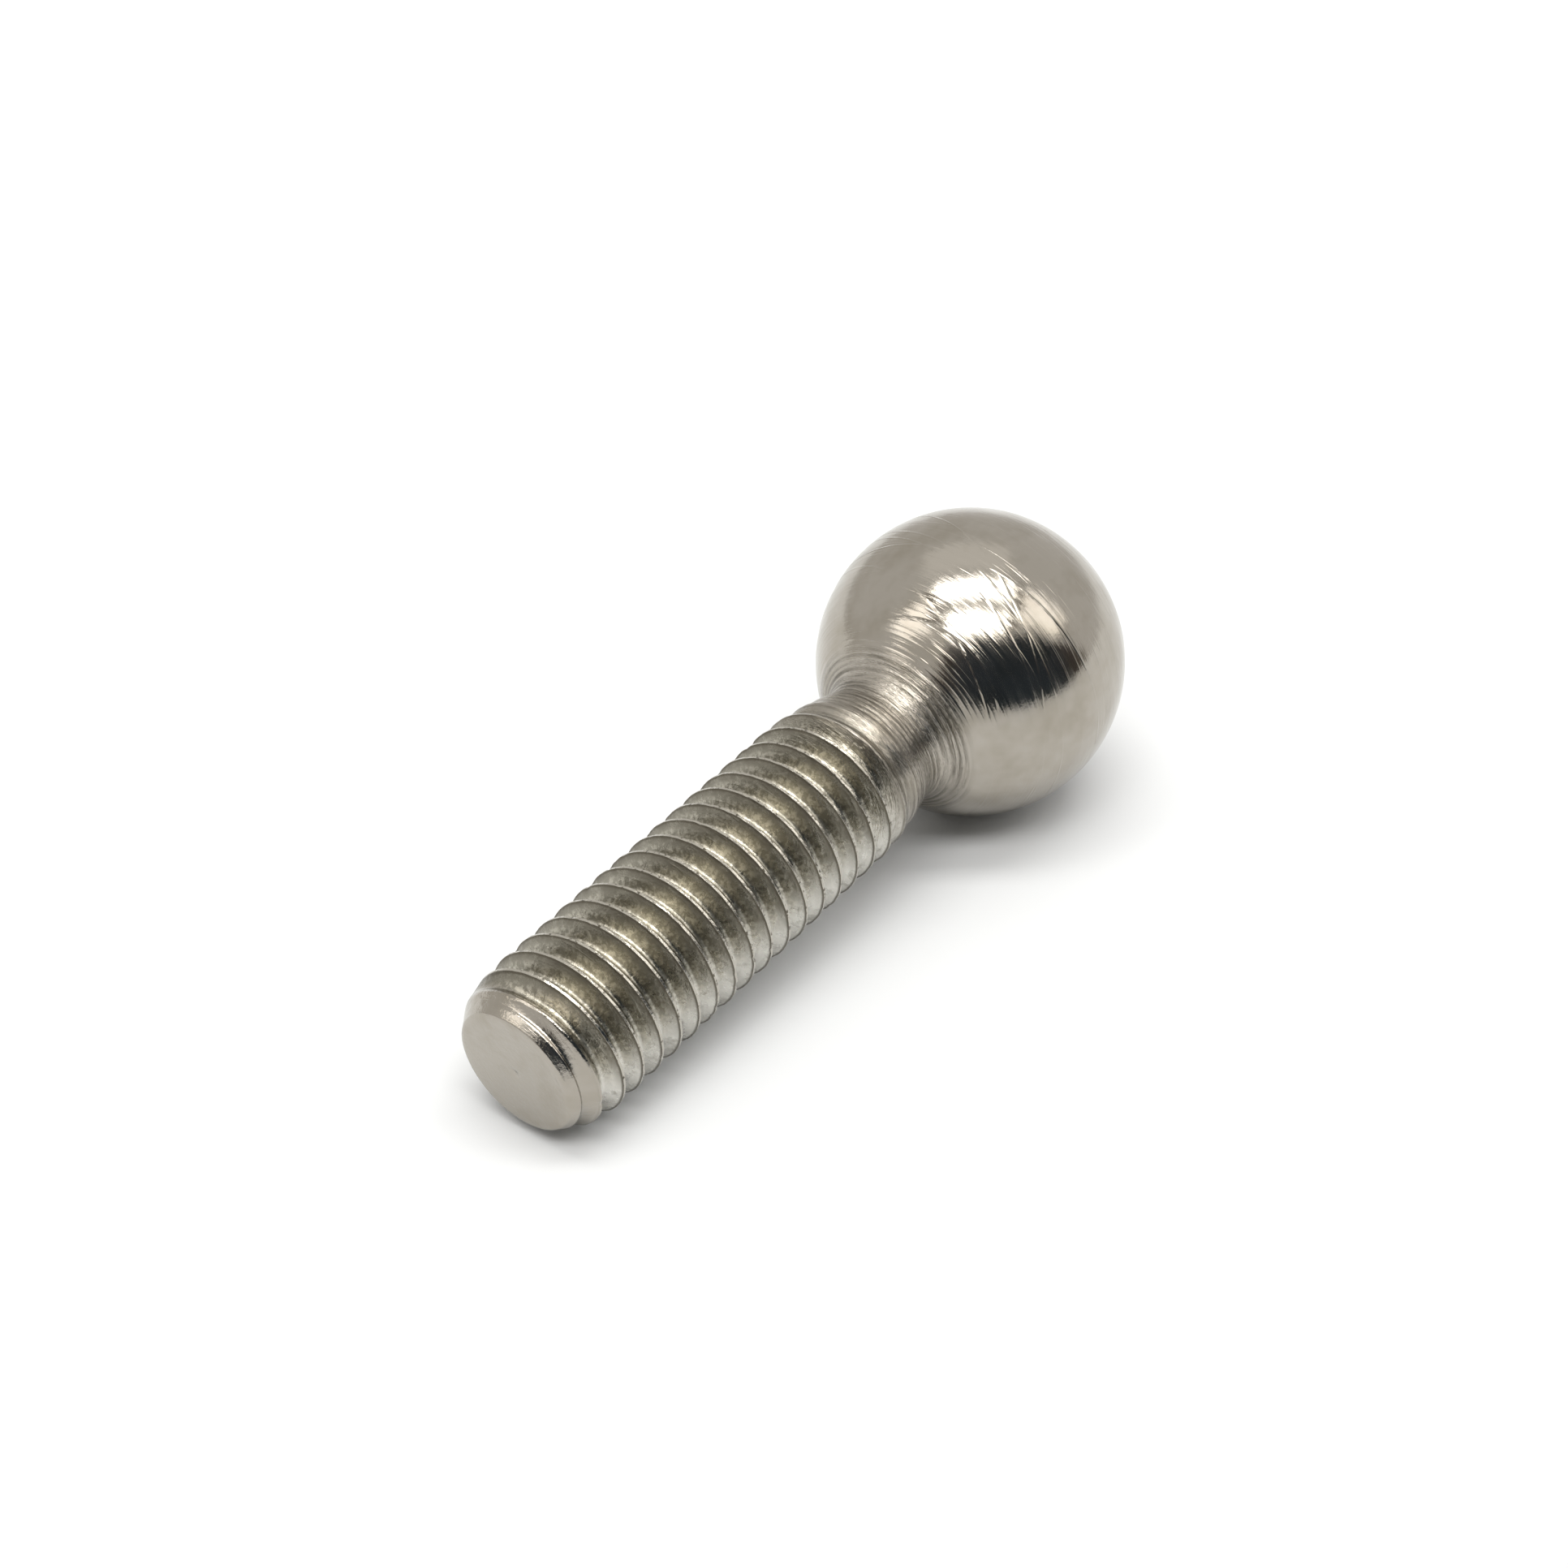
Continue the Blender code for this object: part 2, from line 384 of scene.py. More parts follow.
def square_off(piece, plane, lower_end):
    """Extrude the crest line to a flat ring at the plane, one step for every share."""
    count = select_crest_line(piece, lower_end)
    shares = list(reversed(SPACE_SHARES))
    for before, after in zip(shares, shares[1:]):
        bpy.ops.mesh.extrude_edges_move()
        bpy.ops.transform.resize(value=(after / before, 1, 1), center_override=(plane, 0, 0))
    bpy.ops.object.mode_set(mode="OBJECT")
    print("squared off", count, "edges at station", round(plane / MM, 3))


square_off(thread, thread_start, True)
square_off(thread, thread_stop, False)
true_radii(thread)
pick(thread)
bpy.ops.object.mode_set(mode="EDIT")
bpy.ops.mesh.select_mode(type="VERT")
bpy.ops.mesh.select_all(action="SELECT")
bpy.ops.mesh.remove_doubles(threshold=SQUARE_WELD)
bpy.ops.object.mode_set(mode="OBJECT")
print(thread.name, len(thread.data.vertices), "points")


# %% [markdown]
# The point is turned like the ball. A conical chamfer comes down from the last thread, a small
# round edge leads over to the flat, and the middle of the flat keeps the pip of the lathe centre.

# %% Turn the point
EDGE_RADIUS = 0.11 * MM
EDGE_STEPS = 4
NOSE_STEPS = 10
FLAT_STEPS = 10
PIP_RADIUS = 0.20 * MM
PIP_DEPTH = 0.05 * MM
PIP_WALL = 0.6                  # the pip's wall ends at this share of its radius and depth

shoulder_radius = float(bar_radius(thread_stop))
edge_station = STUD_REACH - EDGE_RADIUS
outline = []
for index in range(NOSE_STEPS + 1):
    station = thread_stop + (edge_station - thread_stop) * index / NOSE_STEPS
    outline.append((station, float(bar_radius(station))))
rim_radius = outline[-1][1]
for index in range(1, EDGE_STEPS):
    angle = math.pi / 2 * index / EDGE_STEPS
    outline.append((edge_station + EDGE_RADIUS * math.sin(angle),
                    END_FLAT_RADIUS + (rim_radius - END_FLAT_RADIUS) * math.cos(angle)))
outline.append((STUD_REACH, END_FLAT_RADIUS))
for index in range(1, FLAT_STEPS + 1):
    outline.append((STUD_REACH, END_FLAT_RADIUS + (PIP_RADIUS - END_FLAT_RADIUS) * index / FLAT_STEPS))
outline += [(STUD_REACH - PIP_DEPTH * PIP_WALL, PIP_RADIUS * PIP_WALL), (STUD_REACH - PIP_DEPTH, 0.0)]
point = draw_outline("point", outline)
turn_outline(point)


# %% [markdown]
# Ball, thread and point are one piece of steel, so they are joined and their shared rings are
# welded. A closed skin is proved by counting: every edge has exactly two faces.

# %% Join and weld the stud
JOIN_WELD = 0.0015 * MM

pick(thread, point, ball)
bpy.ops.object.join()
stud = bpy.context.object
stud.name = "ball_stud_finish"
stud.data.name = "ball_stud_finish"
bpy.ops.object.mode_set(mode="EDIT")
bpy.ops.mesh.select_all(action="SELECT")
bpy.ops.mesh.remove_doubles(threshold=JOIN_WELD)
bpy.ops.mesh.normals_make_consistent(inside=False)
bpy.ops.object.mode_set(mode="OBJECT")


def open_edges(piece):
    """How many of a piece's edges don't have two faces."""
    loop_edges = np.empty(len(piece.data.loops), np.int32)
    piece.data.loops.foreach_get("edge_index", loop_edges)
    return int((np.bincount(loop_edges, minlength=len(piece.data.edges)) != 2).sum())


print(stud.name, len(stud.data.vertices), "points,", open_edges(stud), "open edges")


# %% [markdown]
# Everything that follows the lathe needs one coordinate: the distance along the outline, counted
# in millimetres from where the ball meets the hollow, and negative over the ball. The angle
# round the axis goes with it. Both are stored on the points, for the tool marks and the finish.

# %% Distance along the outline
hollow_length = hollow_turn * NECK_FILLET
join_station = BALL_RADIUS * math.cos(join_angle)


def path_at(points):
    """Distance along the outline for each point, in millimetres."""
    station = points[:, 0]
    radius = np.hypot(points[:, 1], points[:, 2])
    over_ball = (join_angle - np.arctan2(radius, station)) * BALL_RADIUS
    turn = np.arccos(np.clip((hollow_station - station) / NECK_FILLET, -1.0, 1.0))
    down_hollow = (turn - join_angle) * NECK_FILLET
    along_shank = hollow_length + station - hollow_station
    across_end = np.where(station > thread_stop, np.maximum(shoulder_radius - radius, 0.0), 0.0)
    path = np.where(station < hollow_station, down_hollow, along_shank + across_end)
    return np.where(station < join_station, over_ball, path) / MM


def store(piece, name, values):
    """Keep values on a piece's points: one number each, or three."""
    kind, field = ("FLOAT_VECTOR", "vector") if values.ndim == 2 else ("FLOAT", "value")
    layer = piece.data.attributes.new(name, kind, "POINT")
    layer.data.foreach_set(field, np.ascontiguousarray(values, dtype=np.float32).ravel())


points = read_points(stud)
path = path_at(points)
angle = np.arctan2(points[:, 2], points[:, 1])
in_thread = (points[:, 0] > thread_start) & (points[:, 0] < thread_stop)
groove = np.where(in_thread, groove_at(points), 0.0)
store(stud, "turning", np.stack([path, np.cos(angle), np.sin(angle)], axis=1))
store(stud, "groove", groove)
print("outline runs from", round(path.min(), 2), "to", round(path.max(), 2), "mm")


# %% [markdown]
# The form tool left rings in the hollow, down the neck and on the near side of the ball. They are
# a few hundredths of a millimetre high at most, and on bright plating that is plenty, so they are
# cut into the mesh: each is a rounded ridge that swells and dies away as it goes round.

# %% Cut the tool marks
TOOL_MARKS = [  # distance along the outline and half width in mm, height in thousandths of one
    (-5.10, 0.035, 2.5), (-4.62, 0.035, 3), (-4.00, 0.036, 5), (-3.78, 0.035, 2.5), (-3.32, 0.035, 4),
    (-2.90, 0.033, 3), (-2.52, 0.035, 6), (-2.28, 0.033, 3), (-2.09, 0.035, 5), (-1.84, 0.033, 3.5),
    (-1.59, 0.035, 6.5), (-1.36, 0.035, 4), (-1.12, 0.038, 7), (-0.84, 0.040, 7), (-0.50, 0.065, 20),
    (-0.19, 0.065, 18), (0.10, 0.065, 20), (0.43, 0.065, 16), (0.84, 0.070, 13),
    (1.12, 0.070, 13), (1.42, 0.075, 15), (1.72, 0.080, 15), (1.98, 0.080, 12), (2.28, 0.090, 17),
    (2.62, 0.080, 13), (2.90, 0.090, 16), (3.24, 0.080, 13), (3.52, 0.085, 15), (3.86, 0.090, 14),
    (4.18, 0.080, 12), (4.55, 0.090, 14), (4.92, 0.080, 11), (5.30, 0.090, 11), (5.75, 0.090, 8),
    (6.20, 0.090, 6),
]
MARK_REACH = 3.0                # a ridge has died away at this many half widths
MARK_MARGIN = 0.3               # mm beyond the first and last ridge that are looked at
SWELL_SCALE = 1.3               # how quickly a ridge swells and dies away round the bar
SWELL_MEAN = 0.85
SWELL_RANGE = 0.9
NEXT_RIDGE = Vector((0.0, 0.0, 7.1))     # step through the noise, so that no two ridges are alike
FULL_RIDGE = 0.012              # height in mm from which the finish takes a ridge as a full one


def mark_height(path, angle):
    """Height of all tool marks at one point, in metres."""
    height = 0.0
    for index, (place, half_width, microns) in enumerate(TOOL_MARKS):
        across = (path - place) / half_width
        if abs(across) < MARK_REACH:
            around = Vector((math.cos(angle), math.sin(angle), 0.0)) * SWELL_SCALE
            swell = max(0.0, SWELL_MEAN + SWELL_RANGE * noise.noise(around + NEXT_RIDGE * index))
            height += microns * swell * math.exp(-across * across)
    return height * 0.001 * MM


normals = np.empty(len(points) * 3, dtype=np.float32)
stud.data.vertices.foreach_get("normal", normals)
normals = normals.reshape(-1, 3)
first_mark = TOOL_MARKS[0][0] - MARK_MARGIN
last_mark = TOOL_MARKS[-1][0] + MARK_MARGIN
marked = np.nonzero((path > first_mark) & (path < last_mark))[0]
heights = np.array([mark_height(path[index], angle[index]) for index in marked])
points[marked] += normals[marked] * heights[:, None]
write_points(stud, points)
ridge = np.zeros(len(points))
ridge[marked] = np.clip(heights / (FULL_RIDGE * MM), 0.0, 1.0)
store(stud, "ridge", ridge)
print(len(marked), "points moved by up to", round(heights.max() / MM, 3), "mm")


# %% [markdown]
# No thread's crest is a clean line. Cutting and handling leave it slightly wavy, with small dents
# all along. Only points near a crest move: a slow wobble for all of them, shallow worn stretches,
# and many small dents at random places, which a fixed seed keeps the same. Lengths here are in
# millimetres, and the noise's scales are counted per millimetre.

# %% Wear the crests
DENT_COUNT = 140
DENT_WIDTHS = (0.08, 0.20)
DENT_DEPTHS = (0.02, 0.07)
NEAR_CREST = 0.35               # share of the groove's depth at which the wear has faded out
LAST_WEAR = 0.3 * MM            # it also fades out over this length before the chamfer
WOBBLE_OUT = 0.012
WOBBLE_OUT_SCALE = 2.3
WOBBLE_ALONG = 0.016
WOBBLE_ALONG_SCALE = 1.7
ELSEWHERE = Vector((9.0, 0.0, 0.0))
WORN_DEPTH = 0.045
WORN_SCALE = 4.0
WORN_FROM = 0.15                # noise above this is a worn stretch
random.seed(8)

crest_share = share_between(NEAR_CREST, 0.0, groove) * smooth(RUN_OUT_START, RUN_OUT_END, points[:, 0])
crest_share *= share_between(thread_stop, thread_stop - LAST_WEAR, points[:, 0])
near_crest = np.nonzero(crest_share > 0.0)[0]
outward = np.stack([np.zeros(len(points)), np.cos(angle), np.sin(angle)], axis=1)
lift = np.zeros(len(points))
drift = np.zeros(len(points))
for index in near_crest:
    spot = Vector(points[index]) / MM
    worn = max(0.0, noise.noise(spot * WORN_SCALE) - WORN_FROM)
    lift[index] = WOBBLE_OUT * noise.noise(spot * WOBBLE_OUT_SCALE) - WORN_DEPTH * worn
    drift[index] = WOBBLE_ALONG * noise.noise(spot * WOBBLE_ALONG_SCALE + ELSEWHERE)
for _ in range(DENT_COUNT):
    centre = points[random.choice(list(near_crest))]
    width = random.uniform(*DENT_WIDTHS) * MM
    away = np.linalg.norm(points - centre, axis=1) / width
    lift -= random.uniform(*DENT_DEPTHS) * np.exp(-away * away)
points += outward * (lift * crest_share * MM)[:, None]
points[:, 0] += drift * crest_share * MM
write_points(stud, points)
print(len(near_crest), "crest points,", DENT_COUNT, "dents")


# %% [markdown]
# The stud is laid down now: turned to point along -X, dipped until ball and thread touch the
# floor, and moved to its mount. The transform is applied, so the object's own place stays zero.

# %% Lay the stud down
SHARP_ANGLE = 42                # degrees between faces from which an edge is left sharp

pick(stud)
stud.rotation_euler = (0.0, dip, math.pi)
stud.location = ball_centre
bpy.ops.object.transform_apply(location=True, rotation=True, scale=True)
bpy.ops.object.shade_smooth_by_angle(angle=math.radians(SHARP_ANGLE))
lowest = read_points(stud)[:, 2].min()
print("lowest point", round(lowest / MM, 4), "mm,", len(stud.data.polygons), "faces")


# %% [markdown]
# Nickel is slightly warm and gets warmer where light bounces twice, as in the thread. Its finish
# follows the lathe: noise is stretched along the rings by giving it the outline's distance at
# full scale and the angle at a small one. It drives the bump that smears reflections into streaks.
# These helpers each add one node or two and hand on its output.

# %% Helpers for materials
def new_material(name):
    """A material, its shader and its node tree."""
    material = bpy.data.materials.new(name)
    material.use_nodes = True
    return material, material.node_tree.nodes["Principled BSDF"], material.node_tree


def add(tree, kind, settings=None, **inputs):
    """A node with its settings. Inputs go by name, or i0, i1 and so on, to a value or a socket."""
    node = tree.nodes.new(kind)
    for name, value in (settings or {}).items():
        setattr(node, name, value)
    for name, value in inputs.items():
        numbered = name[0] == "i" and name[1:].isdigit()
        socket = node.inputs[int(name[1:]) if numbered else name]
        if isinstance(value, bpy.types.NodeSocket):
            tree.links.new(value, socket)
        else:
            socket.default_value = value
    return node


def mottling(tree, places, per_metre, detail):
    """Noise in all directions at once."""
    return add(tree, "ShaderNodeTexNoise", Vector=places, Scale=per_metre, Detail=detail,
               Roughness=0.65).outputs[0]


def ring_noise(tree, turning, per_mm, round_scale, detail, roughness=0.6):
    """Noise drawn out along the lathe's rings."""
    mapping = add(tree, "ShaderNodeMapping", i0=turning, Scale=(per_mm, round_scale, round_scale))
    return add(tree, "ShaderNodeTexNoise", Vector=mapping.outputs[0], Scale=1.0,
               Detail=detail, Roughness=roughness).outputs[0]


def ramp(tree, value, low, high, to_low=0.0, to_high=1.0):
    """Map a value from one range to another, held at both ends."""
    return add(tree, "ShaderNodeMapRange", i0=value, i1=low, i2=high, i3=to_low, i4=to_high).outputs[0]


def arithmetic(tree, operation, first, second=0.0):
    """Result of a calculation with one or two values."""
    return add(tree, "ShaderNodeMath", {"operation": operation}, i0=first, i1=second).outputs[0]


def times(tree, first, second):
    """Product of two values."""
    return arithmetic(tree, "MULTIPLY", first, second)


def blend(tree, share, first, second):
    """Blend of two values."""
    return add(tree, "ShaderNodeMix", {"data_type": "FLOAT"}, i0=share, i2=first, i3=second).outputs[0]


def mix(tree, share, first, second):
    """Blend of two colours."""
    return add(tree, "ShaderNodeMix", {"data_type": "RGBA"}, i0=share, i6=first, i7=second).outputs[2]


def bump(tree, height, distance, below=None):
    """A bump of so many millimetres on top of another one."""
    inputs = {"Height": height, "Distance": distance * MM, "Strength": 1.0}
    if below:
        inputs["Normal"] = below
    return add(tree, "ShaderNodeBump", **inputs).outputs[0]


print("helpers ready")


# %% [markdown]
# The finish changes along the stud, so masks come first. Each is 1 where its name holds and 0
# elsewhere, with a soft border. Most are read from the distance along the outline, which is
# stored on the points: the neck starts near zero, and the thread ends near 25 mm. The underside,
# where the thread's colour is painted lighter as a painted reflection of the bright table, is read
# from the angle round the axis.

# %% The stud's regions
THREAD_BORDER = (3.2, 5.6)
END_BORDER = (25.2, 25.7)
NECK_BORDERS = ((-0.9, -0.3), (4.6, 7.6))
BALL_BORDER = (-1.3, -0.9)
LIT_UNDERSIDE_BORDER = (-0.25, 0.30)    # from -1 underneath to 1 on top

nickel, shader, tree = new_material("nickel_plate")
turning = add(tree, "ShaderNodeAttribute", {"attribute_name": "turning"}).outputs["Vector"]
groove_depth = add(tree, "ShaderNodeAttribute", {"attribute_name": "groove"}).outputs["Fac"]
ridge_height = add(tree, "ShaderNodeAttribute", {"attribute_name": "ridge"}).outputs["Fac"]
places = add(tree, "ShaderNodeTexCoord").outputs["Object"]
turning_parts = add(tree, "ShaderNodeSeparateXYZ", i0=turning).outputs
outline_path = turning_parts["X"]
toward_top = turning_parts["Z"]

on_ball = ramp(tree, outline_path, *BALL_BORDER, 1.0, 0.0)
on_end = ramp(tree, outline_path, *END_BORDER)
threaded = times(tree, ramp(tree, outline_path, *THREAD_BORDER),
                 ramp(tree, outline_path, *END_BORDER, 1.0, 0.0))
neck = times(tree, ramp(tree, outline_path, *NECK_BORDERS[0]),
             ramp(tree, outline_path, *NECK_BORDERS[1], 1.0, 0.0))
# Painted light: 1 underneath, where the thread's colour is painted lighter, as the bright table would
# light it
painted_lighter = ramp(tree, toward_top, *LIT_UNDERSIDE_BORDER, 1.0, 0.0)
print("regions: ball, neck, thread, end, and the wiped underside")


# %% [markdown]
# The plating's colour. Ball and neck are clean, with faint stains. The thread carries a khaki
# film. Painted shade darkens its flanks just below each crest, with a nearly black painted shadow
# line at the crest's edge, and painted highlights lighten them in patches lower down. The
# underside is painted lighter, as a painted reflection of the bright table, and the crests are
# painted bright in broken stretches, partly as rubbing wear and partly as painted highlight. On
# the neck the colour is darker between the rings. Each colour is laid over the one before it by a
# mask.

# %% The plate's colour
BRIGHT_NICKEL = (0.405, 0.376, 0.330, 1.0)
STAINED_NICKEL = (0.335, 0.305, 0.255, 1.0)
FILMED_NICKEL = (0.262, 0.246, 0.202, 1.0)
PATCH_HIGHLIGHT_NICKEL = (0.440, 0.415, 0.350, 1.0)
LIT_UNDERSIDE_NICKEL = (0.730, 0.710, 0.655, 1.0)
CREST_WEAR_AND_HIGHLIGHT = (0.480, 0.455, 0.400, 1.0)
DARKEST_TONE = (0.100, 0.088, 0.066, 1.0)
SHADE_ON_TOP = 0.62              # how much painted shade is left below the crests of the upper side
SHADE_BELOW = 0.15               # and of the underside
LINE_DARKNESS = 0.88
DARK_BETWEEN_RINGS = 0.85

stains = mottling(tree, places, 330.0, 3.0)
mottle = mottling(tree, places, 1500.0, 5.0)
specks = mottling(tree, places, 4200.0, 4.0)

# Painted highlight: lower on the flanks, towards the root, the film is lightened in patches
highlight_patches = times(tree, ramp(tree, groove_depth, 0.30, 0.60), ramp(tree, specks, 0.46, 0.56))
filmed = mix(tree, highlight_patches, FILMED_NICKEL, PATCH_HIGHLIGHT_NICKEL)
# Painted reflection: the thread is painted lighter underneath, as a reflection of the bright table would
# make it
underside_lit = mix(tree, times(tree, painted_lighter, ramp(tree, mottle, 0.22, 0.46)), filmed, LIT_UNDERSIDE_NICKEL)
shade_left = ramp(tree, painted_lighter, 0.0, 1.0, SHADE_ON_TOP, SHADE_BELOW)
# Painted shade: the flanks just below each crest are darkened, less so underneath
shade_below_crest = times(tree, ramp(tree, groove_depth, 0.12, 0.48, 1.0, 0.0), ramp(tree, mottle, 0.30, 0.56))
darkened = mix(tree, times(tree, shade_below_crest, shade_left), underside_lit, DARKEST_TONE)
# Painted shadow: a nearly black line along each crest's edge
lined = mix(tree, ramp(tree, groove_depth, 0.07, 0.15, LINE_DARKNESS, 0.0), darkened, DARKEST_TONE)
# The crests are painted bright in broken stretches, partly as rubbing wear and partly as painted
# highlight; in the gaps the painted shadow line stays
crest = times(tree, ramp(tree, groove_depth, 0.004, 0.016, 1.0, 0.0), ramp(tree, specks, 0.37, 0.43))
thread_colour = mix(tree, crest, lined, CREST_WEAR_AND_HIGHLIGHT)

stained = mix(tree, ramp(tree, stains, 0.42, 0.66), BRIGHT_NICKEL, STAINED_NICKEL)
# The neck is darker between its rings, in blotches along them
ring_blotches = ramp(tree, ring_noise(tree, turning, 1.6, 1.6, 2.0), 0.34, 0.66)
off_ridge = ramp(tree, ridge_height, 0.05, 0.60, DARK_BETWEEN_RINGS, 0.0)
bare_colour = mix(tree, times(tree, times(tree, neck, ring_blotches), off_ridge), stained, DARKEST_TONE)
tree.links.new(mix(tree, threaded, bare_colour, thread_colour), shader.inputs["Base Color"])
shader.inputs["Metallic"].default_value = 1.0
print("colour:", len(tree.nodes), "nodes")


# %% [markdown]
# How sharply the plating mirrors. The ball is polished and the crests are rubbed bright. The
# thread's flanks are duller, because the film lies on them.

# %% The plate's gloss
BALL_ROUGHNESS = (0.10, 0.20)
THREAD_ROUGHNESS = (0.20, 0.38)
CREST_ROUGHNESS = 0.14
NECK_ROUGHNESS = 0.24

broad_lines = ring_noise(tree, turning, 3.4, 1.4, 3.0)
ball_roughness = ramp(tree, broad_lines, 0.35, 0.7, *BALL_ROUGHNESS)
flank_roughness = ramp(tree, mottle, 0.3, 0.7, *THREAD_ROUGHNESS)
thread_roughness = blend(tree, crest, flank_roughness, CREST_ROUGHNESS)
roughness = blend(tree, threaded, ball_roughness, thread_roughness)
roughness = blend(tree, neck, roughness, NECK_ROUGHNESS)
tree.links.new(roughness, shader.inputs["Roughness"])
print("gloss:", len(tree.nodes), "nodes")


# %% [markdown]
# A few long scratches cross the ball at an angle to the rings. Each is a circle: the plane it
# lies in is given by how far its middle leans from the stud's axis, which way round it leans,
# both in degrees, and how many millimetres it lies from the ball's centre.

# %% Long scratches on the ball
SCRATCHES = [
    (12, 181, 0.94), (23, 164, 0.65), (6, -25, 0.80), (19, 59, 6.03), (16, 173, 3.71), (14, 176, 1.70),
]
SCRATCH_HALF_WIDTH = 0.07 * MM

side_of_stud = Vector((0, -1, 0))
top_of_stud = along.cross(side_of_stud)
from_ball = add(tree, "ShaderNodeVectorMath", {"operation": "SUBTRACT"}, i0=places, i1=ball_centre)
scratched = 0.0
for lean, way_round, offset in SCRATCHES:
    sideways = side_of_stud * math.cos(math.radians(way_round))
    sideways += top_of_stud * math.sin(math.radians(way_round))
    middle = along * math.cos(math.radians(lean)) + sideways * math.sin(math.radians(lean))
    level = add(tree, "ShaderNodeVectorMath", {"operation": "DOT_PRODUCT"},
                i0=from_ball.outputs[0], i1=middle).outputs["Value"]
    distance = arithmetic(tree, "ABSOLUTE", arithmetic(tree, "SUBTRACT", level, offset * MM))
    scratch = ramp(tree, distance, 0.0, SCRATCH_HALF_WIDTH, 1.0, 0.0)
    scratched = arithmetic(tree, "MAXIMUM", scratched, scratch)
long_scratches = times(tree, times(tree, scratched, on_ball), ramp(tree, stains, 0.40, 0.50))
print(len(SCRATCHES), "long scratches")


# %% [markdown]
# The small unevenness is bumps laid on one another: fine rings round the ball, coarser ones
# round the neck, a fine grain, pits on the thread and the end, and a very slow waviness that
# keeps the reflections from being perfect. Heights are in millimetres.

# %% The plate's unevenness
ring_scratches = ramp(tree, ring_noise(tree, turning, 7.0, 1.1, 2.0), 0.60, 0.68)
fine_lines = ring_noise(tree, turning, 16.0, 2.2, 4.0)
neck_lines = times(tree, ring_noise(tree, turning, 4.6, 1.3, 4.0, 0.7), neck)
pitted = arithmetic(tree, "MAXIMUM", threaded, times(tree, on_end, 0.8))
layers = [
    (neck_lines, 0.120),
    (long_scratches, 0.015),
    (ring_scratches, 0.0042),
    (fine_lines, 0.0020),
    (broad_lines, 0.010),
    (mottling(tree, places, 9000.0, 3.0), 0.0030),
    (times(tree, specks, pitted), 0.030),
    (stains, 0.016),
]
finish = None
for layer, height in layers:
    finish = bump(tree, layer, height, finish)
tree.links.new(finish, shader.inputs["Normal"])
print(len(layers), "bumps")


# %% [markdown]
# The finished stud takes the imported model's place, on its one body, with its one finish.

# %% Hand the stud over
stud.data.materials.clear()
stud.data.materials.append(nickel)
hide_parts("ball_stud")
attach(stud, "root")
print(stud.name, "replaces ball_stud;", nickel.name, "has", len(tree.nodes), "nodes")


# %% [markdown]
# The stud lies on a white table that is lit until it is plain white. The camera stands over the
# point's side, nearly 150 mm from the ball, and looks down at 35 degrees.

# %% Table and camera
TABLE_WHITE = (0.690, 0.702, 0.715, 1.0)
TABLE_SIZE = 8.0
CAMERA_FROM_BALL = Vector((-0.10163, -0.06854, 0.07973))
LOOK = Vector((0.64083, 0.50368, -0.57935))
LENS = 69.82                    # focal length in mm, for a sensor 36 mm wide

pick()
bpy.ops.mesh.primitive_plane_add(size=TABLE_SIZE, location=(0, 0, 0))
table = bpy.context.object
table.name = "table"
white, shader, tree = new_material("white_table")
shader.inputs["Base Color"].default_value = TABLE_WHITE
shader.inputs["Roughness"].default_value = 0.9
shader.inputs["Specular IOR Level"].default_value = 0.0
table.data.materials.append(white)

bpy.ops.object.camera_add(location=ball_centre + CAMERA_FROM_BALL)
camera = bpy.context.object
camera.rotation_euler = LOOK.to_track_quat("-Z", "Y").to_euler()
camera.data.sensor_width = 36.0
camera.data.lens = LENS
camera.data.clip_start = 0.01
bpy.context.scene.camera = camera
bpy.context.scene.view_settings.view_transform = "Standard"
print("camera", [round(c / MM, 1) for c in camera.location], "mm, lens", round(camera.data.lens, 2))


# %% [markdown]
# On bright metal the light is half the picture. Overhead is a window in four panes: two white
# ones, one beyond the other, and a warm one on each side. Beyond them the ceiling glows a little.
# Their sizes are given for one metre of height and in the camera's directions, right and forward.

# %% The window overhead
WINDOW_HEIGHT = 1.2
right = LOOK.cross(Vector((0, 0, 1))).normalized()
forward = Vector((0, 0, 1)).cross(right)
turn_of_window = math.atan2(right.y, right.x)
PANES = [  # name, left and right edge, near and far edge, radiance, colour
    ("pane_far", -0.43, 0.48, -0.13, 0.10, 8.0, (1.00, 0.99, 0.965)),
    ("pane_near", -0.37, 0.46, -0.70, -0.37, 7.8, (1.00, 0.99, 0.965)),
    ("pane_left", -1.60, -0.62, -0.62, -0.08, 1.9, (1.00, 0.965, 0.92)),
    ("pane_right", 0.66, 2.00, -0.45, 0.15, 1.6, (1.00, 0.965, 0.92)),
    ("ceiling_glow", -0.55, 0.45, 0.30, 0.90, 0.22, (1.00, 0.98, 0.94)),
]


def overhead(left_edge, right_edge, near_edge, far_edge):
    """Middle of a rectangle at the height of the window."""
    middle = right * (left_edge + right_edge) / 2 + forward * (near_edge + far_edge) / 2
    return ball_centre + (middle + Vector((0, 0, 1))) * WINDOW_HEIGHT


for name, left_edge, right_edge, near_edge, far_edge, radiance, colour in PANES:
    place = overhead(left_edge, right_edge, near_edge, far_edge)
    bpy.ops.object.light_add(type="AREA", location=place)
    pane = bpy.context.object
    pane.name = name
    pane.rotation_euler = (0, 0, turn_of_window)
    pane.data.shape = "RECTANGLE"
    pane.data.size = (right_edge - left_edge) * WINDOW_HEIGHT
    pane.data.size_y = (far_edge - near_edge) * WINDOW_HEIGHT
    pane.data.energy = radiance * math.pi * pane.data.size * pane.data.size_y
    pane.data.color = colour
    print(name, round(pane.data.energy, 1), "W")


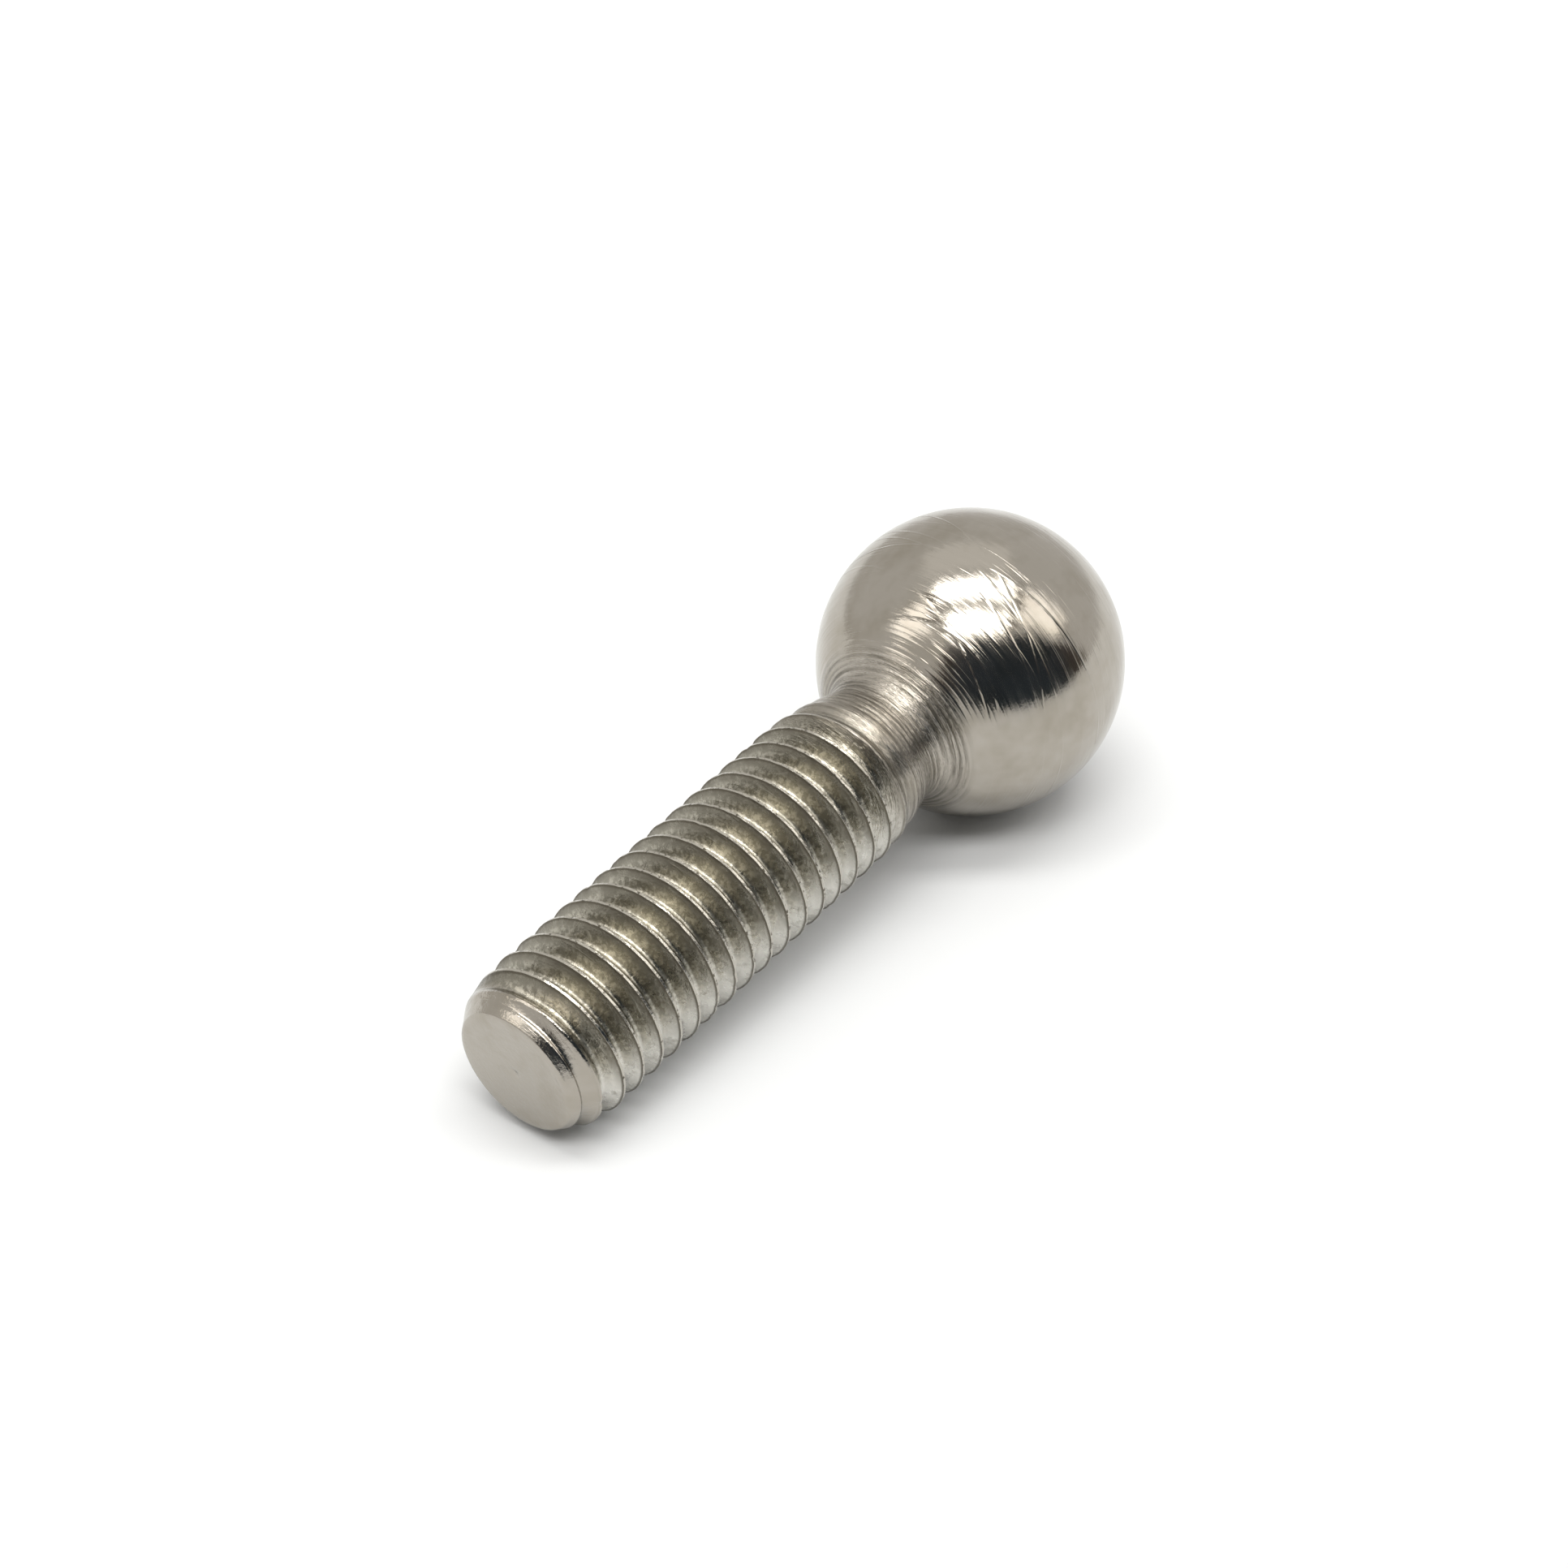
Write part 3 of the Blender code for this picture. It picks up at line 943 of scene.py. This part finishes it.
# %% [markdown]
# Dark posts stand between the white panes and the warm ones. They give the highlight its hard
# dark edges. They are no lamps, but their faint brightness is painted on as glow.

# %% The window's posts
POSTS = [  # name, left and right edge, near and far edge
    ("post_left", -0.60, -0.47, -0.70, 0.06),
    ("post_right", 0.51, 0.64, -0.62, 0.16),
]


def dark_post(name, left_edge, right_edge, near_edge, far_edge):
    """A flat dark strip at the height of the window, given as the panes are."""
    place = overhead(left_edge, right_edge, near_edge, far_edge)
    bpy.ops.mesh.primitive_plane_add(size=1.0, location=place)
    post = bpy.context.object
    post.name = name
    post.rotation_euler = (0, 0, turn_of_window)
    post.scale = ((right_edge - left_edge) * WINDOW_HEIGHT, (far_edge - near_edge) * WINDOW_HEIGHT, 1)
    post.data.materials.append(glowing_dark_wood)


glowing_dark_wood, shader, tree = new_material("glowing_dark_wood")
shader.inputs["Base Color"].default_value = (0.05, 0.04, 0.03, 1.0)
# Painted glow: the post is no lamp, and its faint brightness is painted on
shader.inputs["Emission Color"].default_value = (0.11, 0.09, 0.07, 1.0)
shader.inputs["Emission Strength"].default_value = 1.0
pick()
for name, *edges in POSTS:
    dark_post(name, *edges)
print(len(POSTS), "posts")


# %% [markdown]
# Whoever holds the camera shows in the ball as a dark shape. It is a curved screen round the
# camera's side, nearly black in the middle and browner at its ends, where the sleeves are. It is
# no lamp, but its dim colours are painted on as glow. The camera itself doesn't see it, so it
# never stands in front of the stud.

# %% The dark screen behind the camera
SCREEN_DISTANCE = 0.17
SCREEN_EDGES = [  # compass angle, lower and upper edge above the horizon, in degrees
    (-218, 2, 6), (-213, 0, 14), (-205, -1, 22), (-196, -2, 29), (-189, -2.5, 37), (-181, -2.5, 42),
    (-171, -2.5, 45), (-160, -2.5, 47), (-147, -2, 48), (-130, 0, 48.5), (-118, 4, 49), (-108, 9, 48.5),
    (-103, 12, 46), (-100, 15, 38),
]
MIDDLE_DARK = (0.036, 0.047, 0.058, 1.0)
SLEEVE_BROWN = (0.160, 0.125, 0.100, 1.0)
columns = len(SCREEN_EDGES)


def screen_point(compass, elevation):
    """A point on the screen seen from the ball's centre in a given direction."""
    level = Vector((math.sin(math.radians(compass)), math.cos(math.radians(compass)), 0.0))
    return ball_centre + (level + Vector((0, 0, math.tan(math.radians(elevation))))) * SCREEN_DISTANCE


pick()
bpy.ops.mesh.primitive_grid_add(x_subdivisions=columns - 1, y_subdivisions=1, size=2.0)
screen = bpy.context.object
screen.name = "dark_screen"
for vertex in screen.data.vertices:
    column = round((vertex.co.x + 1.0) / 2.0 * (columns - 1))
    compass, lower, upper = SCREEN_EDGES[column]
    vertex.co = screen_point(compass, upper if vertex.co.y > 0 else lower)
screen.visible_camera = False
from_middle = np.abs(np.linspace(-1.0, 1.0, columns))
store(screen, "sleeve", np.tile(share_between(0.5, 1.0, from_middle), 2))
dark, shader, tree = new_material("glowing_dark_cloth")
sleeve = add(tree, "ShaderNodeAttribute", {"attribute_name": "sleeve"}).outputs["Fac"]
cloth = mix(tree, sleeve, MIDDLE_DARK, SLEEVE_BROWN)
shader.inputs["Base Color"].default_value = (0.0, 0.0, 0.0, 1.0)
shader.inputs["Specular IOR Level"].default_value = 0.0
# Painted glow: the screen is no lamp, and its dim colours are painted on
tree.links.new(cloth, shader.inputs["Emission Color"])
shader.inputs["Emission Strength"].default_value = 1.0
screen.data.materials.append(dark)
print(screen.name, len(screen.data.polygons), "faces")


# %% [markdown]
# The room is pale and slightly warm all round. It gives the plating most of its colour.

# %% The room
ROOM_COLOUR = (0.80, 0.785, 0.76, 1.0)

world = bpy.data.worlds.new("room")
bpy.context.scene.world = world
world.use_nodes = True
background = world.node_tree.nodes["Background"]
background.inputs["Color"].default_value = ROOM_COLOUR
background.inputs["Strength"].default_value = 1.0
print("room colour", ROOM_COLOUR[:3])
